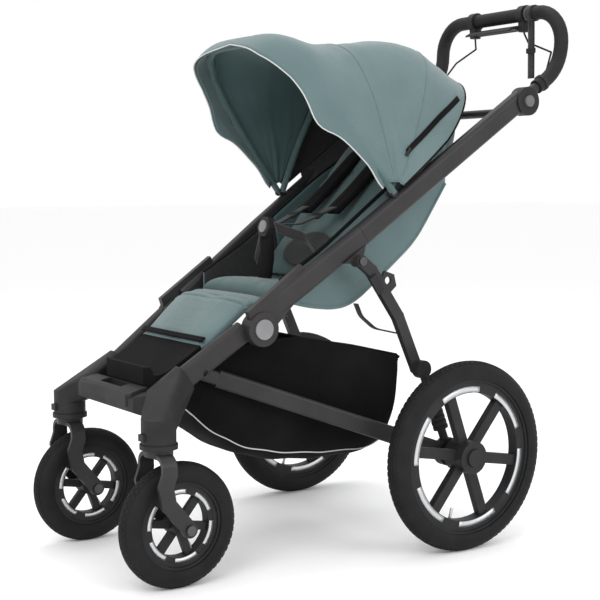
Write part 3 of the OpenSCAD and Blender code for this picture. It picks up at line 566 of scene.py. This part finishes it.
def canopy():
    skin = sheet_of("canopy_skin", 112, 80, lambda u, v: canopy_share(2 * u - 1, v), "teal")
    wall = skin.modifiers.new("wall", "SOLIDIFY")
    wall.thickness = 0.0025
    wall.offset = -1
    apply_modifiers(skin)
    vent_end, visor_start = 0.30, 0.90

    def inside(start, size):
        """The canopy's inner face from share start of its depth, and size deep."""
        return lambda u, v: canopy_share((2 * u - 1) * 0.995, start + v * size, -0.005)

    linings = [
        # The lining gets the darker teal copy: painted shade.
        sheet_of("canopy_lining", 112, 60, inside(vent_end, visor_start - vent_end), "teal_painted_shade",
                 0.0015),
        sheet_of("canopy_visor", 112, 16, inside(visor_start, 0.093), "teal", 0.0015),
        sheet_of("canopy_vent", 112, 30, inside(0.006, vent_end - 0.006), "black_mesh",
                 0.0015)]
    trims = []
    edge = [canopy_share(-1 + i / 40, 1, -0.001) for i in range(81)]
    trims.append(tube("canopy_piping", edge, 0.0014, "piping", smooth_path=False))
    rear = [canopy_share(-1 + i / 40, 0, -0.001) for i in range(81)]
    trims.append(tube("canopy_rear_binding", rear, 0.0026, "black_cloth", smooth_path=False))
    for degrees, name in ((66, "rear_seam"), (103, "middle_seam")):
        line = [canopy_point(-0.97 + i * 1.94 / 80, degrees, 0.0002) for i in range(81)]
        trims.append(tube("canopy_" + name, line, 0.0009, "teal", smooth_path=False))
    for s, side in SIDES:
        knots = [smooth_along(ZIP, i / 12) for i in range(13)]
        zipper = [canopy_point(s * t, degrees, 0.0012) for t, degrees in knots]
        trims.append(strap("canopy_zip_" + side, zipper, 0.012, 0.002, "black_cloth",
                           (0, -0.62, 0.78)))
        trims.append(block("canopy_zip_pull_" + side, canopy_point(s * ZIP[-1][0], ZIP[-1][1], 0.004),
                           (0.004, 0.007, 0.020), "black_plastic", -30))
    for obj in [skin] + linings + trims:
        bend_canopy(obj)
    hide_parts("canopy_front", "canopy_rear")
    for obj in linings:
        area_of(obj) / 2 / 0.3

    def back(u, v):
        t = (2 * u - 1) * 0.9
        top = canopy_share(t, 0.0, -0.003)
        across = math.copysign(0.143 * min(abs(t) / 0.5, 1), t)
        low = at(across, *on_back(0.452 - 0.26 * max(abs(t) - 0.5, 0) / 0.4, -0.012))
        return top.lerp(low, v)

    mesh = sheet_of("canopy_back_mesh", 72, 16, back, "black_mesh", 0.0012)
    canopy_share(0, 0)
    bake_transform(mesh)
    for name, degrees, radius, half, body in (("front", 128.5, 0.3875, 0.2155, "canopy"),
                                              ("rear", 69, 0.3315, 0.2015, "upper_frame")):
        line = bow_line(degrees, radius, half)
        # The bow sleeves get the darker teal copy: painted shade.
        sleeve = tube("bow_sleeve_" + name, line, 0.0072, "teal_painted_shade", smooth_path=False)
        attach(sleeve, body)
        for s, side in SIDES:
            inner, outer = (at(s * (half + reach), CANOPY_Y, CANOPY_Z) for reach in (-0.0038, 0.0038))
            cap = rod("bow_end_%s_%s" % (name, side), inner, outer, 0.0085, "black_plastic",
                      32, 0.001)
            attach(cap, body)


# ---------------------------------------------------------------- seat

RECLINE_Y, RECLINE_Z = 0.410, 0.545
BACK = math.radians(49)


def on_back(s, n):
    """Side-view point s up the backrest and n in front of it."""
    return (RECLINE_Y + s * math.cos(BACK) - n * math.sin(BACK),
            RECLINE_Z + s * math.sin(BACK) + n * math.cos(BACK))


def leg_rest():
    knee = [(0.098, 0.441), (0.112, 0.444), (0.150, 0.478), (0.190, 0.512), (0.214, 0.522)]
    pad = pillow("leg_rest_pad", knee, lambda v: 0.126 + 0.012 * v, lambda v: 0.028,
                 "teal", 0.006,
                 across=(0.84,), lengthways=(-0.36, 0.0, 0.36), groove=0.006)
    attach(pad, "chassis")
    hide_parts("leg_rest")
    edge = [at(-0.128, 0.100, 0.456), at(0, 0.098, 0.456), at(0.128, 0.100, 0.456)]
    binding = strap("leg_rest_binding", edge, 0.012, 0.003, "black_cloth", (0, 0.75, 0.65))
    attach(binding, "chassis")
    skirt = pillow("knee_panel", [(0.212, 0.522), (0.232, 0.528), (0.246, 0.520)], lambda v: 0.137,
                   lambda v: 0.012, "teal", 0.002)
    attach(skirt, "chassis")


def seat():
    # The seat and back pads get the darker teal copy: painted shade.
    base = pillow("seat_pad", [(0.258, 0.534), (0.285, 0.540), (0.340, 0.536), (0.404, 0.530)],
                  lambda v: 0.146, lambda v: 0.034, "teal_painted_shade", 0.006,
                  across=(0.5,), lengthways=(-0.45, 0.45))
    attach(base, "upper_frame")
    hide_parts("seat_base")
    back = pillow("back_pad", [on_back(s, 0.013) for s in (0.012, 0.12, 0.25, 0.35, 0.452)],
                  lambda v: 0.144 - 0.012 * max(v - 0.8, 0) / 0.2, lambda v: 0.024,
                  "teal_painted_shade", 0.010, across=(0.3, 0.62), lengthways=(-0.42, 0.42))
    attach(back, "seat_back")
    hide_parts("seat_back_pad")
    outline = ((-0.010, -0.014), (0.06, -0.036), (0.18, -0.046), (0.30, -0.044), (0.40, -0.034),
               (0.46, -0.016))
    shell = pillow("back_shell", [on_back(s, n) for s, n in outline][::-1], lambda v: 0.1465,
                   lambda v: 0.030 + 0.050 * math.sin(math.pi * v) ** 0.7, "teal", 0.004,
                   across=(0.22, 0.52), lengthways=(-0.6, 0.6), groove=0.002)
    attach(shell, "seat_back")
    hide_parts("seat_back_shell")

    def oval(u, v):
        turn = 2 * math.pi * u
        up, out = 0.070 + 0.046 * v * math.sin(turn), 0.0375 - 0.002 * v
        return at(0.078 * v * math.cos(turn), *on_back(up, out))

    inset = sheet_of("seat_inset", 64, 10, oval, "black_mesh", 0.0015)
    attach(inset, "seat_back")
    low = [(0.262, 0.532), (0.311, 0.514), (0.398, 0.503), (0.436, 0.509), (0.501, 0.556), (0.608, 0.640),
           (0.690, 0.760)]
    high = [(0.262, 0.566), (0.360, 0.624), (0.500, 0.728), (0.560, 0.772), (0.690, 0.850)]
    for s, side in SIDES:
        # The inner wing gets the darker teal copy: painted shade.
        for name, x, first, last, look, slot in (("outer", 0.1540, 0.0, 1.0, "teal", "teal_fabric"),
                                                 ("mesh", 0.1500, 0.0, 0.42, "black_mesh", "black_fabric"),
                                                 ("inner", 0.1500, 0.42, 1.0, "teal_painted_shade", "teal_fabric")):

            def place(u, v):
                share = first + (last - first) * u
                a, b = smooth_along(low, share), smooth_along(high, share)
                bulge = 0.005 * math.sin(math.pi * v) * math.sin(math.pi * share)
                return at(s * (x + bulge), a[0] + (b[0] - a[0]) * v, a[1] + (b[1] - a[1]) * v)

            wing = sheet_of("seat_side_%s_%s" % (name, side), 40, 24, place, look, 0.002)
            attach(wing, "upper_frame")
        if s > 0:
            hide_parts("seat_sides")
        for name, line, look in (("top", high, "black_cloth"), ("low", low, "teal")):
            path = [at(s * 0.1525, *smooth_along(line, i / 16)) for i in range(17)]
            slot = "black_fabric" if look == "black_cloth" else "teal_fabric"
            rim = tube("seat_side_%s_rim_%s" % (name, side), path, 0.004, look)
            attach(rim, "upper_frame")
    sling = sheet_of("seat_sling", 24, 24, lambda u, v: at(0.153 * (2 * u - 1), *smooth_along(low, 0.36 * v)),
                     "teal", 0.002)
    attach(sling, "upper_frame")


def harness():
    crotch = pillow("crotch_pad", [(0.322, 0.552), (0.330, 0.600), (0.329, 0.652)], lambda v: 0.022,
                    lambda v: 0.012, "black_cloth", 0.002)
    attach(crotch, "upper_frame")
    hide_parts("lap_harness")
    for s, side in SIDES:
        lap = strap("lap_strap_" + side, [at(s * 0.136, 0.388, 0.586), at(s * 0.085, 0.372, 0.646),
                                          at(s * 0.024, 0.335, 0.668)], 0.025, 0.003, side=(0, -0.35, 0.94))
        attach(lap, "upper_frame")
        rest = ((0.375, 0.022), (0.345, 0.036), (0.22, 0.050), (0.15, 0.062))
        upper = [at(s * 0.052, *on_back(a, n)) for a, n in rest]
        sleeve = strap("shoulder_pad_" + side, upper, 0.044, 0.010, "black_cloth")
        lower = [at(s * 0.052, *on_back(0.16, 0.066)), at(s * 0.040, *on_back(0.08, 0.105)),
                 at(s * 0.022, 0.338, 0.674)]
        web = strap("shoulder_web_" + side, lower, 0.024, 0.003)
        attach(sleeve, "seat_back")
        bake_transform(web)
        if s > 0:
            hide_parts("shoulder_straps")
        slider = block("strap_slider_" + side, at(s * 0.046, *on_back(0.12, 0.085)), (0.034, 0.018, 0.005),
                       "black_plastic", 35)
        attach(slider, "seat_back")


# ---------------------------------------------------------------- basket


def basket():
    floor = [(0.044, 0.352), (0.134, 0.254), (0.212, 0.204), (0.300, 0.183), (0.400, 0.178), (0.520, 0.184),
             (0.545, 0.222), (0.549, 0.300), (0.549, 0.392)]
    rim = [(0.044, 0.356), (0.075, 0.392), (0.106, 0.413), (0.240, 0.438), (0.311, 0.445), (0.430, 0.424),
           (0.549, 0.396)]
    widths = [(0.020, 0.092), (0.150, 0.106), (0.300, 0.138), (0.460, 0.170), (0.560, 0.170)]

    def place(u, v, grow=0.0):
        y, z = smooth_along(floor, v, 0.04)
        top = max(read(rim, y), z)
        turn = (2 * u - 1) * math.pi / 2
        x = read(widths, y) * math.copysign(abs(math.sin(turn)) ** 0.42, turn)
        drop = abs(math.cos(turn)) ** 0.42
        crease = 0.0022 * math.sin(23 * v + 9 * u) * math.sin(31 * v - 14 * u) * drop
        return at(x * (1 + grow) + math.copysign(crease, x), y, top - (top - z) * drop + crease - grow * 0.05)

    bag = sheet_of("basket_bag", 88, 88, place, "black_cloth")
    wall = bag.modifiers.new("wall", "SOLIDIFY")
    wall.thickness = 0.0025
    wall.offset = -1
    apply_modifiers(bag)
    trims = []
    for s, side in SIDES:
        line = [place(0.5 + s * 0.2, i / 60, 0.012) for i in range(61)]
        trims.append(tube("basket_piping_" + side, line, 0.0013, "piping"))
        edge = [place(0.5 + s * 0.5, i / 60, -0.025) for i in range(61)]
        trims.append(tube("basket_rim_" + side, edge, 0.0035, "black_cloth",
                          smooth_path=False))
    edge = [place(i / 40, 1) for i in range(41)]
    trims.append(tube("basket_rear_rim", edge, 0.0045, "black_cloth"))
    for obj in [bag] + trims:
        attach(obj, "chassis")
    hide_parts("basket")


# ---------------------------------------------------------------- wheels


def wheel_pieces():
    for _, side in SIDES:
        for kind, joint, rim, tyre_r, width, count, flange in (
                ("rear", "rear_wheel_%s_spin" % side, 0.1475, 0.1975, 0.048, 6, 0.0125),
                ("front", "front_wheel_%s_spin" % side, 0.0705, 0.120, 0.047, 6, 0.0115)):
            x, y, z = joint_at(joint)
            body = "%s_wheel_%s_body" % (kind, side)
            deep = 0.014 if kind == "rear" else 0.0105
            bm = bmesh.new()
            inside, outside = rim - deep, rim + 0.001
            profile = [(-flange, inside), (flange, inside), (flange, outside), (-flange, outside)]
            verts = [bm.verts.new(at(x + px, y, z + pr)) for px, pr in profile]
            edges = [bm.edges.new((verts[i], verts[(i + 1) % 4])) for i in range(4)]
            bmesh.ops.spin(bm, geom=verts + edges, cent=at(x, y, z), axis=(1, 0, 0),
                           angle=2 * math.pi, steps=96, use_merge=True)
            bmesh.ops.recalc_face_normals(bm, faces=bm.faces)
            ring = piece(kind + "_rim_flange_" + side, bm, "black_plastic", False)
            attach(ring, body)
            arcs = bmesh.new()
            first_reflector = 50
            for face_side in (-1, 1):
                for i in range(count):
                    middle = math.radians(first_reflector + i * 360 / count)
                    half = math.radians(20.5)
                    steps = 16
                    inner, outer = [], []
                    for k in range(steps + 1):
                        a = middle - half + 2 * half * k / steps
                        for row, r in ((inner, rim - deep + 0.0015), (outer, rim - 0.0005)):
                            spot = at(x + face_side * (flange + 0.0006), y - r * math.sin(a),
                                      z - r * math.cos(a))
                            row.append(arcs.verts.new(spot))
                    for k in range(steps):
                        arcs.faces.new((inner[k], inner[k + 1], outer[k + 1], outer[k]))
            bmesh.ops.recalc_face_normals(arcs, faces=arcs.faces)
            foil = piece(kind + "_reflectors_" + side, arcs, "reflector")
            wall = foil.modifiers.new("wall", "SOLIDIFY")
            wall.thickness = 0.0005
            wall.offset = 0
            apply_modifiers(foil)
            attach(foil, body)
            tread(kind, side, body, x, y, z, tyre_r, width)
            angle = math.radians(252 if kind == "rear" else 300)
            a = at(x, y + (rim - deep + 0.001) * math.cos(angle), z + (rim - deep + 0.001) * math.sin(angle))
            b = at(x, y + (rim - deep - 0.022) * math.cos(angle), z + (rim - deep - 0.022) * math.sin(angle))
            valve = rod(kind + "_valve_" + side, a, b, 0.0032, "steel", bevel=0.0006)
            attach(valve, body)


def tread(kind, side, body, x, y, z, tyre_r, width):
    """Low blocks in staggered rows around the tyre."""
    bm = bmesh.new()
    section = width / 2
    reach = section - 0.0004
    rows = ((-26, 0.0), (-9, 0.5), (9, 0.0), (26, 0.5))
    count = int(2 * math.pi * tyre_r / 0.0135)
    for lean, shift in rows:
        for i in range(count):
            a = 2 * math.pi * (i + shift) / count
            t = math.radians(lean)
            r = tyre_r - section + reach * math.cos(t)
            place = (Matrix.Translation(at(x, y, z)) @ Matrix.Rotation(a, 4, "X")
                     @ Matrix.Translation((reach * math.sin(t), 0, r)) @ Matrix.Rotation(t, 4, "Y"))
            bmesh.ops.create_cube(bm, size=1, matrix=place @ Matrix.Diagonal((0.0068, 0.0092, 0.0022, 1)))
    blocks = piece(kind + "_tread_" + side, bm, "tyre", False)
    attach(blocks, body)


# ---------------------------------------------------------------- small hard pieces


def bolt(name, body, x0, x1, y, z, radius, look="black_plastic"):
    """A socket-headed bolt along X, its head at x1."""
    head = rod(name, at(x0, y, z), at(x1, y, z), radius, look, 32, radius * 0.15)
    out = math.copysign(1, x1 - x0)
    key = rod(name + "_key", at(x1 - out * 0.0005, y, z), at(x1 + out * 0.0004, y, z), radius * 0.45,
              "dark_steel", 6)
    for obj in (head, key):
        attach(obj, body)


def front_details():
    for s, side in SIDES:
        x, y, z = joint_at("front_wheel_%s_spin" % side)
        for reach in (-1, 1):
            x1 = x + reach * 0.0535
            bolt("fork_bolt_%s_%s" % (side, "in" if reach * s < 0 else "out"), "swivel_" + side,
                 x1 - reach * 0.004, x1, y, z, 0.0085)


def handle_details():
    crossbar_y, crossbar_z, grip = 0.985, 1.150, 0.0165
    loop = []
    for i in range(25):
        a = 2 * math.pi * i / 24
        reach = grip + 0.002
        loop.append(at(0.110, crossbar_y + reach * math.cos(a), crossbar_z + reach * math.sin(a)))
    band = strap("wrist_loop", loop, 0.020, 0.002, steps=48)
    tail = [at(0.110, crossbar_y - 0.003, crossbar_z - grip),
            at(0.112, crossbar_y - 0.004, crossbar_z - 0.06),
            at(0.110, crossbar_y - 0.001, crossbar_z - 0.148)]
    hang = strap("wrist_ribbon", tail, 0.020, 0.0022)
    slider = block("wrist_slider", at(0.111, crossbar_y - 0.004, crossbar_z - 0.085), (0.026, 0.007, 0.012),
                   "black_plastic")
    for obj in (band, hang, slider):
        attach(obj, "handle")
    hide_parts("wrist_strap")
    for s, side in SIDES:
        cuff = rod("grip_cuff_" + side, at(s * 0.203, 0.922, 0.981), at(s * 0.203, 0.930, 0.9856), 0.0185,
                   "black_plastic", 40, 0.001)
        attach(cuff, "handle")


def strut_details():
    for s, side in SIDES:
        bolt("strut_top_bolt_" + side, "struts", s * 0.2255, s * 0.229, 0.413, 0.60376, 0.0085)
        hanging = [at(s * 0.166, 0.441, 0.512), at(s * 0.172, 0.449, 0.486), at(s * 0.185, 0.475, 0.460),
                   at(s * 0.207, 0.515, 0.450)]
        loop = strap("strut_loop_" + side, hanging, 0.014, 0.003)
        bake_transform(loop)
        for name, y, z in (("low", 0.465, 0.652), ("high", 0.533, 0.701)):
            clip = block("tube_clip_%s_%s" % (name, side), at(s * 0.1635, y, z), (0.008, 0.026, 0.016),
                         "black_plastic", 35)
            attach(clip, "upper_frame")
        latch = block("strut_latch_" + side, at(s * 0.2295, 0.447, 0.556), (0.006, 0.020, 0.040),
                      "black_plastic", 32.6)
        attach(latch, "struts")


def main():
    dress_nodes()
    stage()
    canopy()
    leg_rest()
    seat()
    harness()
    basket()
    wheel_pieces()
    front_details()
    handle_details()
    strut_details()


main()
